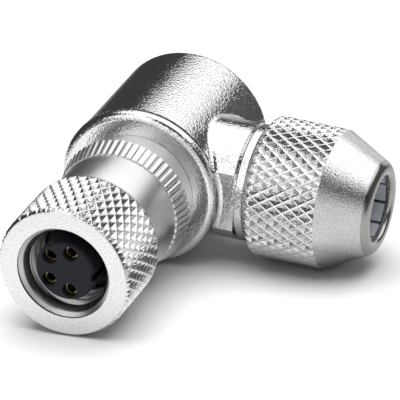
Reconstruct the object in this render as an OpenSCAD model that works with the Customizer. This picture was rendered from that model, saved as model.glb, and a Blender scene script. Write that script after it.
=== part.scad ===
// Right-angle circular sensor connector with a screw coupling and a cable gland.
// The origin is the centre of the coupling nut's front face. The coupling axis points along -Y,
// and the gland axis leaves it along +X.

/* [Coupling nut] */
// diameter of the coupling nut over the knurl tips
nut_d = 11.7; // [11.3:0.1:12.1]
// length of the coupling nut
nut_len = 6.7; // [6.5:0.1:7.5]
// nominal diameter of the coupling thread
thread_d = 8; // [7.9:0.1:8.1]
// pitch of the coupling thread
thread_pitch = 1; // [0.75:0.05:1]
// diameter of the mouth at the front face
mouth_d = 8.2; // [8.1:0.02:8.4]
// depth of the straight edge of the mouth
mouth_step = 0.16; // [0.1:0.02:0.24]
// depth of the mouth with its countersink, ahead of the thread
mouth_depth = 0.8; // [0.7:0.02:1]
// length of the web at the back of the nut
nut_web = 1.4; // [1.1:0.1:1.7]
// diamonds around the coupling nut
nut_knurl_n = 39; // [32:1:46]
// half steps of the diamond pattern along the coupling nut
nut_knurl_steps = 9; // [8:1:12]
// plain rim left at each end of the coupling nut
nut_rim = 0.12; // [0.12:0.02:0.4]

/* [Screw collar] */
// diameter of the smooth neck behind the coupling nut
neck_d = 10.66; // [10.4:0.02:10.8]
// length of the smooth neck
neck_len = 4.65; // [4.1:0.05:5.4]
// diameter of the straight-knurled grip ring over its teeth
ring_d = 11.35; // [11.15:0.05:11.9]
// length of the grip ring
ring_len = 2.45; // [2:0.05:2.8]
// teeth around the grip ring
ring_teeth = 58; // [48:1:66]
// depth of the teeth of the grip ring
ring_tooth = 0.3; // [0.2:0.02:0.32]
// length of the shank seen between the grip ring and the housing
shank_len = 2.15; // [1.75:0.05:2.6]
// nominal diameter of the collar thread in the housing
collar_thread_d = 9.6; // [9.5:0.05:9.7]
// pitch of the collar thread
collar_pitch = 0.75; // [0.5:0.05:0.75]

/* [Housing] */
// diameter of the housing barrel
barrel_d = 13.95; // [13.6:0.05:14.5]
// step of the front rim over the barrel, on the radius
rim_step = 0.08; // [0.04:0.02:0.2]
// distance from the gland axis to the front face of the rim
face_a = 5.25; // [5.1:0.05:5.6]
// distance from the gland axis to the closed back of the barrel
back_a = 7.75; // [7.45:0.05:8.65]
// wall of the housing at the closed back
back_wall = 1.35; // [1.1:0.05:1.6]
// inside diameter of the wiring space
space_d = 10.8; // [10.6:0.1:11.1]
// diameter of the branch that carries the gland
branch_d = 10.15; // [9.95:0.05:10.4]
// width across the spanner flats of the branch
flats_w = 8.65; // [8.45:0.05:9.1]
// distance from the coupling axis to the end of the flats
flats_end = 8.35; // [8.15:0.05:8.6]

/* [Contact insert] */
// diameter of the contact carrier at its mating face
insert_d = 5.25; // [5.15:0.05:5.35]
// depth of the mating face behind the front of the coupling nut
insert_recess = 0.4; // [0.35:0.05:0.85]
// radius of the circle that the contact holes lie on
hole_circle = 1.75; // [1.7:0.01:1.78]
// diameter of the contact holes at the mating face
hole_d = 1.3; // [1.24:0.02:1.34]
// outside diameter of a socket contact
contact_d = 1.1; // [1.04:0.02:1.12]
// bore of a socket contact
contact_bore = 0.86; // [0.8:0.02:0.9]
// wall of the metal sleeve around the carrier
sleeve_wall = 0.4; // [0.35:0.01:0.45]

/* [Cable gland] */
// diameter of the gland nut over the knurl tips
gland_d = 12.1; // [11.9:0.1:12.7]
// length of the gland nut from its back bevel to its nose
gland_len = 10.65; // [10.35:0.05:11.65]
// length of the knurl on the gland nut
gland_knurl_len = 6.45; // [5.85:0.05:6.7]
// diamonds around the gland nut
gland_knurl_n = 40; // [32:1:46]
// half steps of the diamond pattern along the gland nut
gland_knurl_steps = 9; // [8:1:12]
// diameter of the nose ring
nose_d = 8.2; // [7.9:0.1:8.4]
// diameter of the cable opening
cable_d = 5.6; // [5.2:0.1:5.7]
// nominal diameter of the gland thread on the housing
gland_thread_d = 9.6; // [9.4:0.05:9.7]
// pitch of the gland thread
gland_pitch = 0.75; // [0.5:0.05:0.75]
// diameter of the seal pocket in the housing
pocket_d = 7.45; // [7.35:0.05:7.55]
// fingers of the clamp cage
finger_n = 10; // [8:1:12]
// width of the slots between the fingers
finger_slot = 0.27; // [0.21:0.01:0.37]

/* [Fits] */
// clearance on the radius between pieces that turn or slide on each other
run_gap = 0.06; // [0.04:0.01:0.09]
// clearance on the radius between pieces that are pressed or pushed together
seat_gap = 0.03; // [0.02:0.01:0.05]
// clearance on the radius of a drawn thread, whose ridges are left plain
thread_gap = 0.05; // [0.03:0.01:0.08]
// free axial play of a captive piece
play = 0.1; // [0.05:0.01:0.15]
// depth of the diamond knurls
knurl_depth = 0.18; // [0.14:0.02:0.26]

/* [Hidden] */
round_fn = 96;
small_fn = 40;
cut = 0.05;
// coupling axis, counted forwards from the gland axis
ring_back = face_a + shank_len;
ring_front = ring_back + ring_len;
neck_front = ring_front + neck_len;
nut_back = neck_front + play;
nut_front = nut_back + nut_len;
web_front = nut_back + nut_web;
mouth_a = nut_front - mouth_depth;
keeper_back = web_front + play;
keeper_len = 0.5;
keeper_step = 0.12;
keeper_front = keeper_back + keeper_len;
insert_face = nut_front - insert_recess;
// radii around the coupling axis
thread_r = (thread_d - 1.0825 * thread_pitch) / 2;
carrier_step = 0.2;
carrier_r = insert_d / 2 - carrier_step;
keeper_r = thread_r - keeper_step;
seal_section = (keeper_r - carrier_r - seat_gap) / 2;
seal_mid = keeper_front + seal_section + seat_gap;
nose_back_a = seal_mid + seal_section + seat_gap;
sleeve_in = carrier_r + seat_gap;
sleeve_r = sleeve_in + sleeve_wall;
collar_r = collar_thread_d / 2;
shank_step = 0.27;
shank_r = collar_r + shank_step;
relief_depth = 0.38;
relief_r = collar_r - relief_depth;
relief_len = 0.65;
collar_seal_section = (shank_r - relief_r - seat_gap) / 2 - seat_gap;
// seats inside the housing
ledge_depth = 3.95;
ledge_back = face_a - ledge_depth;
ledge_len = 0.65;
ledge_front = ledge_back + ledge_len;
foot_len = 0.85;
foot_front = ledge_front + foot_len;
collar_end = foot_front + seat_gap;
foot_step = 0.27;
foot_r = collar_r - foot_step;
ledge_step = 0.45;
ledge_r = sleeve_r + ledge_step;
space_back = -(back_a - back_wall);
rim_r = barrel_d / 2 + rim_step;
barrel_r = barrel_d / 2;
key_w = 1;
key_depth = 0.45;
wire_r = 2.4;
wire_inset = 0.5;
liner_gap = 0.06;
liner_wall = 0.45;
liner_r = space_d / 2 - liner_gap;
// gland axis, counted outwards from the coupling axis
undercut_len = 0.25;
undercut_depth = 0.45;
band_back = flats_end + undercut_len;
band_len = 0.85;
band_front = band_back + band_len;
gland_back = band_front + play;
bevel_len = 0.25;
knurl_back = gland_back + bevel_len;
knurl_front = knurl_back + gland_knurl_len;
nose_end = gland_back + gland_len;
pocket_inset = 0.8;
pocket_floor = band_front - pocket_inset;
spigot_len = 5.05;
spigot_end = band_front + spigot_len;
stack_gap = 0.05;
seal_back = pocket_floor + stack_gap;
seal_len = 3.8;
seal_front = seal_back + seal_len;
thrust_back = seal_front + stack_gap;
thrust_len = 0.65;
thrust_front = thrust_back + thrust_len;
cage_back = thrust_front + stack_gap;
cage_shoulder = spigot_end + 2 * stack_gap;
head_len = 1.2;
head_front = cage_shoulder + head_len;
tip_inset = 0.7;
cage_tip = nose_end - tip_inset;
// radii around the gland axis
gland_r = gland_d / 2;
branch_r = branch_d / 2;
spigot_r = gland_thread_d / 2;
pocket_r = pocket_d / 2;
cable_r = cable_d / 2;
nose_r = nose_d / 2;
cable_gap = 0.05;
bore_r = cable_r + cable_gap;
grip_gap = 0.3;
head_step = 0.9;
head_r = spigot_r - head_step;
tip_wall = 0.32;
finger_r = bore_r + tip_wall;
tip_cone_r = finger_r + grip_gap;
// contact positions around the carrier, the free side is the key side
contact_angles = [143, 76, -76, -143];
tail_len = 2.8;
tail_end = ledge_back - tail_len;
socket_inset = 0.55;
socket_front = insert_face - socket_inset;

function arc(cx, cy, r, a0, a1, n = 5) =
    [for (i = [0:n]) [cx + r * cos(a0 + (a1 - a0) * i / n), cy + r * sin(a0 + (a1 - a0) * i / n)]];

// stands a piece drawn along Z on the coupling axis, Z turned to -Y
module on_front() {
    translate([0, nut_front, 0]) rotate([90, 0, 0]) children();
}

// stands a piece drawn along Z on the gland axis, Z turned to +X
module on_side() {
    translate([0, nut_front, 0]) rotate([0, 90, 0]) children();
}

module turned(profile) {
    rotate_extrude($fn = round_fn) polygon(profile);
}

module rod(r, z0, z1, fn = round_fn) {
    translate([0, 0, z0]) cylinder(r = r, h = z1 - z0, $fn = fn);
}

module o_ring(r, section, z) {
    translate([0, 0, z]) rotate_extrude($fn = round_fn) translate([r, 0]) circle(r = section, $fn = small_fn);
}

// sleeve of pyramids left between two crossing families of grooves
module diamond_knurl(tip_r, in_r, n, levels, len) {
    cols = 2 * n;
    base = (levels + 1) * cols;
    skin = [for (k = [0:levels]) for (j = [0:cols - 1])
        let (r = (j + k) % 2 == 0 ? tip_r : tip_r - knurl_depth, t = 360 * j / cols)
        [r * cos(t), r * sin(t), len * k / levels]];
    core = [for (k = [0:1]) for (j = [0:cols - 1])
        let (t = 360 * j / cols) [in_r * cos(t), in_r * sin(t), len * k]];
    sides = [for (k = [0:levels - 1]) for (j = [0:cols - 1])
        let (m = (j + 1) % cols, a = k * cols + j, b = k * cols + m, c = b + cols, d = a + cols)
        each ((j + k) % 2 == 0 ? [[a, d, b], [b, d, c]] : [[a, c, b], [a, d, c]])];
    ends = [for (j = [0:cols - 1])
        let (m = (j + 1) % cols, top = levels * cols)
        each [[j, m, base + m, base + j],
            [base + cols + j, base + cols + m, top + m, top + j],
            [base + j, base + m, base + cols + m, base + cols + j]]];
    polyhedron(points = concat(skin, core), faces = concat(sides, ends));
}

module branch_section() {
    intersection() {
        circle(r = branch_r, $fn = round_fn);
        square([2 * branch_d, flats_w], center = true);
    }
}

module barrel_solid() {
    edge = 0.38;
    lip = 0.7;
    groove = 0.3;
    turned(concat(
        [[0, -back_a]],
        arc(barrel_r - edge, -back_a + edge, edge, -90, 0),
        [[barrel_r, face_a - 1.2], [barrel_r - groove, face_a - 1.14],
            [barrel_r - groove, face_a - 0.94], [rim_r - 0.05, face_a - 0.88]],
        arc(rim_r - lip, face_a - lip, lip, 0, 80),
        [[rim_r - lip, face_a], [0, face_a]]));
}

module angle_housing() {
    color("Silver") difference() {
        union() {
            on_front() barrel_solid();
            on_side() linear_extrude(height = flats_end) branch_section();
            on_side() turned([[0, flats_end - cut], [branch_r - undercut_depth, flats_end - cut],
                [branch_r - undercut_depth, band_back], [branch_r - 0.12, band_back],
                [branch_r, band_back + 0.12], [branch_r, band_front - 0.12],
                [branch_r - 0.12, band_front], [spigot_r, band_front],
                [spigot_r, spigot_end - 0.25], [spigot_r - 0.25, spigot_end], [0, spigot_end]]);
        }
        on_front() {
            rod(space_d / 2, space_back, ledge_back);
            rod(ledge_r, ledge_back - cut, ledge_front + cut);
            rod(foot_r + seat_gap, ledge_front, foot_front + cut);
            rod(collar_r + thread_gap, foot_front, face_a + cut);
            rod(shank_r - seat_gap, face_a - relief_len, face_a + cut);
        }
        on_side() {
            rod(wire_r, space_d / 2 - wire_inset, pocket_floor + cut);
            rod(pocket_r, pocket_floor, spigot_end + cut);
        }
    }
    color("Silver") on_front()
        translate([-key_w / 2 + seat_gap, foot_r - key_depth + 2 * seat_gap, ledge_front - cut])
        cube([key_w - 2 * seat_gap, key_depth + 0.2, foot_len]);
}

module grip_teeth() {
    step = 360 / ring_teeth;
    tip_r = ring_d / 2;
    root_r = tip_r - ring_tooth;
    foot = 0.42;
    land = 0.28;
    polygon([for (i = [0:ring_teeth - 1]) each [
        [root_r * cos(step * (i - foot)), root_r * sin(step * (i - foot))],
        [tip_r * cos(step * (i - land)), tip_r * sin(step * (i - land))],
        [tip_r * cos(step * (i + land)), tip_r * sin(step * (i + land))],
        [root_r * cos(step * (i + foot)), root_r * sin(step * (i + foot))]]]);
}

module screw_collar() {
    neck_r = neck_d / 2;
    color("Gainsboro") on_front() difference() {
        union() {
            turned([[0, collar_end], [collar_r - 0.2, collar_end], [collar_r, collar_end + 0.2],
                [collar_r, face_a - relief_len], [relief_r, face_a - relief_len], [relief_r, face_a],
                [shank_r, face_a], [shank_r, ring_back + cut], [neck_r - 0.1, ring_back + cut],
                [neck_r - 0.1, ring_front - cut], [neck_r, ring_front - cut],
                [neck_r, neck_front - 0.3], [neck_r - 0.3, neck_front], [0, neck_front]]);
            translate([0, 0, ring_back]) linear_extrude(height = ring_len) grip_teeth();
        }
        rod(sleeve_r + run_gap, collar_end - cut, neck_front + cut);
    }
}

module collar_seal() {
    mid_r = (shank_r - seat_gap + relief_r) / 2;
    color("DimGray") on_front() o_ring(mid_r, collar_seal_section, face_a - relief_len / 2);
}

module coupling_nut() {
    root_r = nut_d / 2 - knurl_depth;
    rim_edge = root_r - 0.04;
    color("LightGray") on_front() difference() {
        union() {
            turned([[0, nut_back], [rim_edge - 0.2, nut_back], [rim_edge, nut_back + 0.15],
                [rim_edge, nut_front - 0.1], [rim_edge - 0.1, nut_front], [0, nut_front]]);
            translate([0, 0, nut_back + nut_rim])
                diamond_knurl(nut_d / 2, root_r - 0.5, nut_knurl_n, nut_knurl_steps, nut_len - 2 * nut_rim);
        }
        rod(sleeve_r + run_gap, nut_back - cut, web_front + cut);
        rod(thread_r, web_front, nut_front);
        turned([[0, mouth_a], [thread_r, mouth_a], [mouth_d / 2, nut_front - mouth_step],
            [mouth_d / 2, nut_front + cut], [0, nut_front + cut]]);
    }
}

module insert_sleeve() {
    color("Gold") on_front() difference() {
        union() {
            rod(sleeve_r, ledge_front, keeper_front);
            rod(foot_r, ledge_front, foot_front);
        }
        rod(sleeve_in, ledge_front - cut, keeper_front + cut);
        translate([-key_w / 2, foot_r - key_depth, ledge_front - cut])
            cube([key_w, key_depth + 1, foot_len + 2 * cut]);
    }
}

module nut_keeper_ring() {
    color("Gray") on_front() difference() {
        rod(keeper_r, keeper_back, keeper_front);
        rod(sleeve_r + seat_gap, keeper_back - cut, keeper_front + cut);
    }
}

module at_contacts() {
    for (t = contact_angles) translate([hole_circle * cos(t), hole_circle * sin(t), 0]) children();
}

module contact_carrier() {
    nose = insert_d / 2;
    step = 0.15;
    key_slot_w = 0.75;
    color("DarkSlateGray") on_front() difference() {
        turned([[0, ledge_back - 0.4], [carrier_r, ledge_back - 0.4], [carrier_r, nose_back_a],
            [nose, nose_back_a], [nose, insert_face - step],
            [nose - step, insert_face], [0, insert_face]]);
        at_contacts() rod(hole_d / 2, socket_front - 0.3, insert_face + cut, small_fn);
        at_contacts() rod(contact_d / 2 + seat_gap, ledge_back - 1, socket_front, small_fn);
        translate([nose - 0.3, -key_slot_w / 2, nose_back_a - cut]) cube([1, key_slot_w, insert_face]);
    }
}

module socket_contact(index) {
    r = contact_d / 2;
    cup = tail_end + 1.6;
    t = contact_angles[index];
    color("Goldenrod") on_front() translate([hole_circle * cos(t), hole_circle * sin(t), 0]) rotate([0, 0, t])
        difference() {
            rod(r, tail_end, socket_front, small_fn);
            rod(contact_bore / 2, socket_front - 4, socket_front + cut, small_fn);
            rod(contact_bore / 2, tail_end - cut, cup, small_fn);
            translate([0, -r, tail_end - cut]) cube([2 * r, 2 * r, 1.1]);
            translate([-r - cut, -0.09, socket_front - 2.4]) cube([2 * r + 2 * cut, 0.18, 3]);
        }
}

module socket_contact_1() {
    socket_contact(0);
}

module socket_contact_2() {
    socket_contact(1);
}

module socket_contact_3() {
    socket_contact(2);
}

module socket_contact_4() {
    socket_contact(3);
}

module face_seal() {
    color("Black") on_front() o_ring(carrier_r + seat_gap + seal_section, seal_section, seal_mid);
}

module insulating_liner() {
    floor_a = space_back + liner_gap;
    color("WhiteSmoke") difference() {
        on_front() rod(liner_r, floor_a, ledge_back - liner_gap);
        on_front() rod(liner_r - liner_wall, floor_a + liner_wall, ledge_back);
        on_side() rod(wire_r + 0.3, 0, space_d);
    }
}

module cable_seal() {
    color("DarkGray") on_side() difference() {
        rod(pocket_r - seat_gap, seal_back, seal_front);
        rod(bore_r, pocket_floor, seal_front + cut);
    }
}

module thrust_ring() {
    color("Tan") on_side() difference() {
        rod(pocket_r - run_gap, thrust_back, thrust_front);
        rod(bore_r, seal_front, thrust_front + cut);
    }
}

module clamp_cage() {
    seat_r = pocket_r - run_gap;
    color("SlateGray") on_side() difference() {
        turned([[bore_r, cage_back], [seat_r, cage_back], [seat_r, cage_shoulder],
            [head_r, cage_shoulder], [head_r, head_front], [finger_r, cage_tip - 0.15],
            [finger_r - 0.12, cage_tip], [bore_r, cage_tip]]);
        for (i = [0:finger_n - 1]) rotate([0, 0, 360 / finger_n * i])
            translate([0, -finger_slot / 2, cage_shoulder + 0.35]) cube([gland_d, finger_slot, gland_len]);
    }
}

module gland_nut() {
    tip_r = gland_r;
    root_r = gland_r - knurl_depth;
    rim_edge = root_r - 0.04;
    nose_back = nose_end - 0.75;
    bead = 0.6;
    mouth_round = 0.4;
    bore_end = spigot_end + 0.15;
    cage_r = head_r + grip_gap;
    color("LightGray") on_side() difference() {
        union() {
            turned(concat([[0, gland_back], [spigot_r + 0.4, gland_back], [rim_edge, knurl_back - cut],
                [rim_edge, knurl_front + 0.1], [nose_r, nose_back]],
                arc(nose_r - bead, nose_end - bead, bead, 0, 90),
                [[0, nose_end]]));
            translate([0, 0, knurl_back])
                diamond_knurl(tip_r, root_r - 0.4, gland_knurl_n, gland_knurl_steps, gland_knurl_len);
        }
        rod(spigot_r + thread_gap, gland_back - cut, bore_end);
        turned([[0, bore_end - cut], [cage_r, bore_end - cut], [cage_r, head_front],
            [tip_cone_r, cage_tip - 0.15], [tip_cone_r, cage_tip + 0.12], [0, cage_tip + 0.12]]);
        rod(cable_r, cage_tip, nose_end + cut);
        turned(concat([[0, nose_end - mouth_round]],
            arc(cable_r + mouth_round, nose_end - mouth_round, mouth_round, 180, 90),
            [[cable_r + mouth_round, nose_end + cut], [0, nose_end + cut]]));
    }
}

angle_housing();
screw_collar();
collar_seal();
coupling_nut();
insert_sleeve();
nut_keeper_ring();
contact_carrier();
socket_contact_1();
socket_contact_2();
socket_contact_3();
socket_contact_4();
face_seal();
insulating_liner();
cable_seal();
thrust_ring();
clamp_cage();
gland_nut();
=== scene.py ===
"""Looks of a right-angle circular sensor connector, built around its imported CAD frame.

Lengths are written in millimetres and turned into metres where a mesh or a node gets them.
"""

import math

import bmesh
import bpy
from mathutils import Matrix, Vector


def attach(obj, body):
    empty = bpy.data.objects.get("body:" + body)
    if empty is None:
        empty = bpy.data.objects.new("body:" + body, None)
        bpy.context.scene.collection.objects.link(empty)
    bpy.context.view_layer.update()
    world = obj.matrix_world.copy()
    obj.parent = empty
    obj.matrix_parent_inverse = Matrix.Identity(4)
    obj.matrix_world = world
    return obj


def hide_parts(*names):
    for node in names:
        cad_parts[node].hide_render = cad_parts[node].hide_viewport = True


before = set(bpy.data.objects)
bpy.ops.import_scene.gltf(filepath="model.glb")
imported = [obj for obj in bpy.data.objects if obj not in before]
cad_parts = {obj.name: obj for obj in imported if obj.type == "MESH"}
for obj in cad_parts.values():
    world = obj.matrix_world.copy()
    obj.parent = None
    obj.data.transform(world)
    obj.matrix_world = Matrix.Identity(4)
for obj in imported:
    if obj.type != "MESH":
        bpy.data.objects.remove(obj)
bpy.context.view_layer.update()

MM = 0.001
TURN = 2 * math.pi

# The gland axis crosses the coupling axis this far behind the nut's front face.
CROSSING = 21.3
# Pieces drawn along Z stand on the coupling axis (Z to -Y) or on the gland axis (Z to +X).
ON_FRONT = Matrix.Translation((0, CROSSING * MM, 0)) @ Matrix.Rotation(math.pi / 2, 4, "X")
ON_SIDE = Matrix.Translation((0, CROSSING * MM, 0)) @ Matrix.Rotation(math.pi / 2, 4, "Y")

LATHE_STEPS = 160
ARC_STEPS = 7
SHARP_ANGLE = math.radians(32)
JOIN_DISTANCE = 0.002 * MM

# Coupling nut, counted forwards from the gland axis.
NUT_BACK = 14.6
NUT_FRONT = 21.3
NUT_TIP_R = 5.85
NUT_KNURL_DEPTH = 0.25
NUT_KNURL_COLUMNS = 39
NUT_KNURL_LEVELS = 10
NUT_KNURL_RIDGE = 0.13
NUT_KNURL_BACK_SLOPE = 1.1
NUT_KNURL_FRONT_SLOPE = 0.9
NUT_KNURL_INSET = 0.01
NUT_WEB_FRONT = 16.0
NUT_WEB_R = 2.915
NUT_WEB_BACK_FILLET = 0.08
NUT_WEB_FRONT_FILLET = 0.06
NUT_MOUTH_R = 4.1
NUT_MOUTH_FILLET = 0.03
NUT_MOUTH_STEP = 21.06
NUT_STEP_FILLET = 0.02
NUT_MOUTH_MARGIN = 0.005
NUT_SINK_R = 3.78
NUT_SINK_MIDDLE = 20.84
NUT_SINK_BEND = 0.3
NUT_SINK_END = 20.25
NUT_SINK_FILLET = 0.1
NUT_FACE_EDGE = 5.6
NUT_FACE_CHAMFER = 0.05
NUT_RIM_R = 5.74
NUT_RIM = 0.14
NUT_RIM_FILLET = 0.06
NUT_RIM_STEP = 0.02
COUPLING_PITCH = 1.0
COUPLING_CREST_R = 3.47
COUPLING_ROOT_R = 4.0
COUPLING_LAND = 0.15
COUPLING_ROOT_START = 0.47
COUPLING_FIRST_TURN = 0.05
COUPLING_LAST_TURN = 0.5
COUPLING_THREAD_ANGLE = math.radians(-55)

# Screw collar, counted in the same way.
COLLAR_BACK = 2.83
COLLAR_BORE_R = 2.915
COLLAR_BORE_FILLET = 0.05
COLLAR_CORE_R = 4.36
COLLAR_CORE_FILLET = 0.08
COLLAR_THREAD_R = 4.79
COLLAR_PITCH = 0.75
COLLAR_LEAD = 0.35
COLLAR_TURNS_SHORT = 0.5
COLLAR_RELIEF = 4.6
COLLAR_RELIEF_R = 4.42
COLLAR_RELIEF_STEP = 0.05
HOUSING_FACE = 5.25
SHANK_R = 5.07
SHANK_STEP = 0.02
SHANK_FILLET = 0.05
RING_BACK = 7.85
RING_BACK_FILLET = 0.08
RING_BACK_STEP = 0.04
RING_EDGE_FILLET = 0.03
RING_FRONT = 9.85
RING_FRONT_R = 5.43
RING_FRONT_INSET = 0.05
RING_TAPER = 0.24
RING_TOOTH = 0.3
RING_TEETH = 58
RIB_INSET = 0.02
RIB_FOOT = 0.95
RIB_TIP = 0.76
RIB_END_SLOPE = 0.3
RIB_CROWN = 0.18
NECK_R = 5.33
NECK_STEP = 0.02
NECK_FRONT = 14.5
NECK_FILLET = 0.28
NECK_BORE_FILLET = 0.06

# Gland nut, counted outwards from the coupling axis.
GLAND_BACK = 9.55
GLAND_BACK_R = 5.2
GLAND_BACK_FILLET = 0.05
GLAND_KNURL_BACK = 9.8
GLAND_BEVEL_END = 0.04
GLAND_TIP_R = 6.05
GLAND_KNURL_DEPTH = 0.23
GLAND_KNURL_COLUMNS = 40
GLAND_KNURL_LEVELS = 10
GLAND_KNURL_RIDGE = 0.17
GLAND_KNURL_BACK_DROP = 0.04
GLAND_KNURL_BACK_SLOPE = 1.2
GLAND_KNURL_FRONT_DROP = 0.03
GLAND_KNURL_FRONT_SLOPE = 0.5
GLAND_CONE_START = 16.1
GLAND_CONE_R = 6.0
GLAND_CONE_STEP = 0.02
GLAND_CONE_FILLET = 0.01
GLAND_BORE_R = 4.85
GLAND_BORE_FILLET = 0.1
GLAND_BORE_END = 14.65
GLAND_CAGE_R = 4.2
GLAND_CAGE_END = 15.8
GLAND_TIP_CONE_R = 3.47
GLAND_TIP_CONE_END = 19.35
NOSE_POLISH = 19.6
NOSE_END = 20.2
NOSE_CORNER_R = 3.86
NOSE_BEAD = 0.95
NOSE_ROUND = 0.4
NOSE_SHOULDER = 19.62
CABLE_R = 2.8

# Housing, as its CAD node has it, and the cast fillet that is added to it.
BARREL_R = 6.975
GROOVE_FRONT = 4.37
GROOVE_BACK = 4.05
BRANCH_R = 5.075
FLATS_HALF = 4.325
FLAT_EASE = 0.12
FILLET_STEPS = 192
FILLET_ARC = 8
FILLET_BALL = 0.5
FILLET_TOP_GROWTH = 0.25
FILLET_BURY = 0.12
FILLET_EDGE_BURY = 0.004

# Both knurls: how far a ridge falls to its edge, as a share of the depth, and the floor of a pit, as a
# share of a diamond. The turned body lies just below the pits, and the end caps reach into it.
KNURL_EASE = 0.09
KNURL_FLOOR = 0.05
KNURL_BURY = 0.03
KNURL_CAP = 0.1
RIB_BURY = 0.02
THREAD_BURY = 0.02
# Height of a thread ridge where it starts and ends, as a share of its full height.
THREAD_RISE = 0.04

# Places in the list of materials of a piece that has several.
BODY, KNURLED, OTHER = range(3)

# The floor lies under the rim, the coupling nut and the gland nut, so it tilts in the part's frame.
STAGE_CENTRE = (6.0, 14.0, 0.0)
FLOOR_LOW = -5.85
FLOOR_RISE_X = 0.083
FLOOR_RISE_Y = -0.0744
FLOOR_RADIUS = 90.0
FLOOR_RINGS = 12
FLOOR_SPOKES = 64

# Values that a noise texture mostly stays between.
NOISE = (0.3, 0.7)
SPECKLE = (0.38, 0.64)

NUMBER, WHOLE, VECTOR = "NodeSocketFloat", "NodeSocketInt", "NodeSocketVector"
SHAPE, FINISH = "NodeSocketGeometry", "NodeSocketMaterial"


# Mesh helpers


def rounded(points):
    """Closed loop of (r, h) or (r, h, fillet) corners with each fillet drawn as an arc."""
    loop = []
    count = len(points)
    for i, corner in enumerate(points):
        here = Vector(corner[:2])
        fillet = corner[2] if len(corner) > 2 else 0
        if not fillet:
            loop.append(here)
            continue
        back = (Vector(points[i - 1][:2]) - here).normalized()
        ahead = (Vector(points[(i + 1) % count][:2]) - here).normalized()
        half = back.angle(ahead) / 2
        centre = here + (back + ahead).normalized() * fillet / math.sin(half)
        first = here + back * fillet / math.tan(half) - centre
        last = here + ahead * fillet / math.tan(half) - centre
        loop.extend(centre + first.slerp(last, k / ARC_STEPS) * fillet for k in range(ARC_STEPS + 1))
    return loop


def torus_faces(bm, rings):
    """Quads between rings of vertices that close on themselves both ways."""
    for i, ring in enumerate(rings):
        other = rings[(i + 1) % len(rings)]
        for j, vertex in enumerate(ring):
            k = (j + 1) % len(ring)
            bm.faces.new((vertex, other[j], other[k], ring[k]))
    bmesh.ops.recalc_face_normals(bm, faces=bm.faces)


def mesh_from(bm, name):
    mesh = bpy.data.meshes.new(name)
    bm.to_mesh(mesh)
    bm.free()
    return mesh


def placed(name, data):
    """New object in the scene for a mesh, a lamp or a camera."""
    holder = bpy.data.objects.new(name, data)
    bpy.context.collection.objects.link(holder)
    return holder


def smooth(mesh):
    """Smooth shading that keeps the sharp edges."""
    mesh.shade_smooth()
    mesh.set_sharp_from_angle(angle=SHARP_ANGLE)


def turned(name, profile, place):
    """Piece turned on a lathe from a closed profile, on one of the two axes."""
    bm = bmesh.new()
    loop = rounded(profile)
    rings = []
    for i in range(LATHE_STEPS):
        t = TURN * i / LATHE_STEPS
        ring = [(p[0] * math.cos(t), p[0] * math.sin(t), p[1]) for p in loop]
        rings.append([bm.verts.new(Vector(v) * MM) for v in ring])
    torus_faces(bm, rings)
    mesh = mesh_from(bm, name)
    smooth(mesh)
    mesh.transform(place)
    return mesh


def joined(name, meshes, materials):
    """One piece from several meshes, each with its own place in the list of materials."""
    bm = bmesh.new()
    for mesh, slot in meshes:
        start = len(bm.faces)
        bm.from_mesh(mesh)
        bm.faces.ensure_lookup_table()
        for face in bm.faces[start:]:
            face.material_index = slot
    mesh = mesh_from(bm, name)
    for material in materials:
        mesh.materials.append(material)
    return placed(name, mesh)


def paint_faces(piece, slot, chosen):
    """Gives the faces whose centre is chosen another of the piece's materials."""
    for polygon in piece.data.polygons:
        if chosen(polygon.center):
            polygon.material_index = slot


def outward(mesh):
    """Turns the faces of closed shells outwards."""
    bm = bmesh.new()
    bm.from_mesh(mesh)
    bmesh.ops.recalc_face_normals(bm, faces=bm.faces)
    bm.to_mesh(mesh)
    bm.free()
    return mesh


# Node helpers


class Nodes:
    """Short words for building one node tree."""

    def __init__(self, tree):
        self.tree = tree

    def new(self, kind, inputs=None, **settings):
        node = self.tree.nodes.new(kind)
        for key, value in settings.items():
            setattr(node, key, value)
        for key, value in (inputs or {}).items():
            self.feed(node.inputs[key], value)
        return node

    def feed(self, socket, value):
        if isinstance(value, bpy.types.NodeSocket):
            self.tree.links.new(value, socket)
        else:
            socket.default_value = value

    def math(self, operation, *values):
        node = self.new("ShaderNodeMath", dict(enumerate(values)), operation=operation)
        return node.outputs[0]

    def vector(self, operation, *values):
        node = self.new("ShaderNodeVectorMath", dict(enumerate(values)), operation=operation)
        return node.outputs["Vector"]

    def measure(self, operation, *values):
        """Vector math that gives a number, such as a length."""
        node = self.new("ShaderNodeVectorMath", dict(enumerate(values)), operation=operation)
        return node.outputs["Value"]

    def combine(self, x, y, z):
        return self.new("ShaderNodeCombineXYZ", {"X": x, "Y": y, "Z": z}).outputs[0]

    def separate(self, vector):
        return self.new("ShaderNodeSeparateXYZ", {"Vector": vector}).outputs

    def span(self, value, low, high, to_low=0.0, to_high=1.0):
        node = self.new("ShaderNodeMapRange", {"Value": value, "From Min": low, "From Max": high,
                                               "To Min": to_low, "To Max": to_high})
        return node.outputs[0]

    def position(self):
        return self.new("GeometryNodeInputPosition").outputs[0]

    def index(self):
        return self.new("GeometryNodeInputIndex").outputs[0]

    def noise(self, **inputs):
        return self.new("ShaderNodeTexNoise", inputs).outputs[0]


def geometry_tree(name, inputs):
    """Empty Geometry Nodes tree with named inputs; returns its nodes and its input sockets."""
    tree = bpy.data.node_groups.new(name, "GeometryNodeTree")
    for label, kind in inputs.items():
        tree.interface.new_socket(label, in_out="INPUT", socket_type=kind)
    tree.interface.new_socket("Geometry", in_out="OUTPUT", socket_type=SHAPE)
    nodes = Nodes(tree)
    return nodes, nodes.new("NodeGroupInput").outputs


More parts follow.
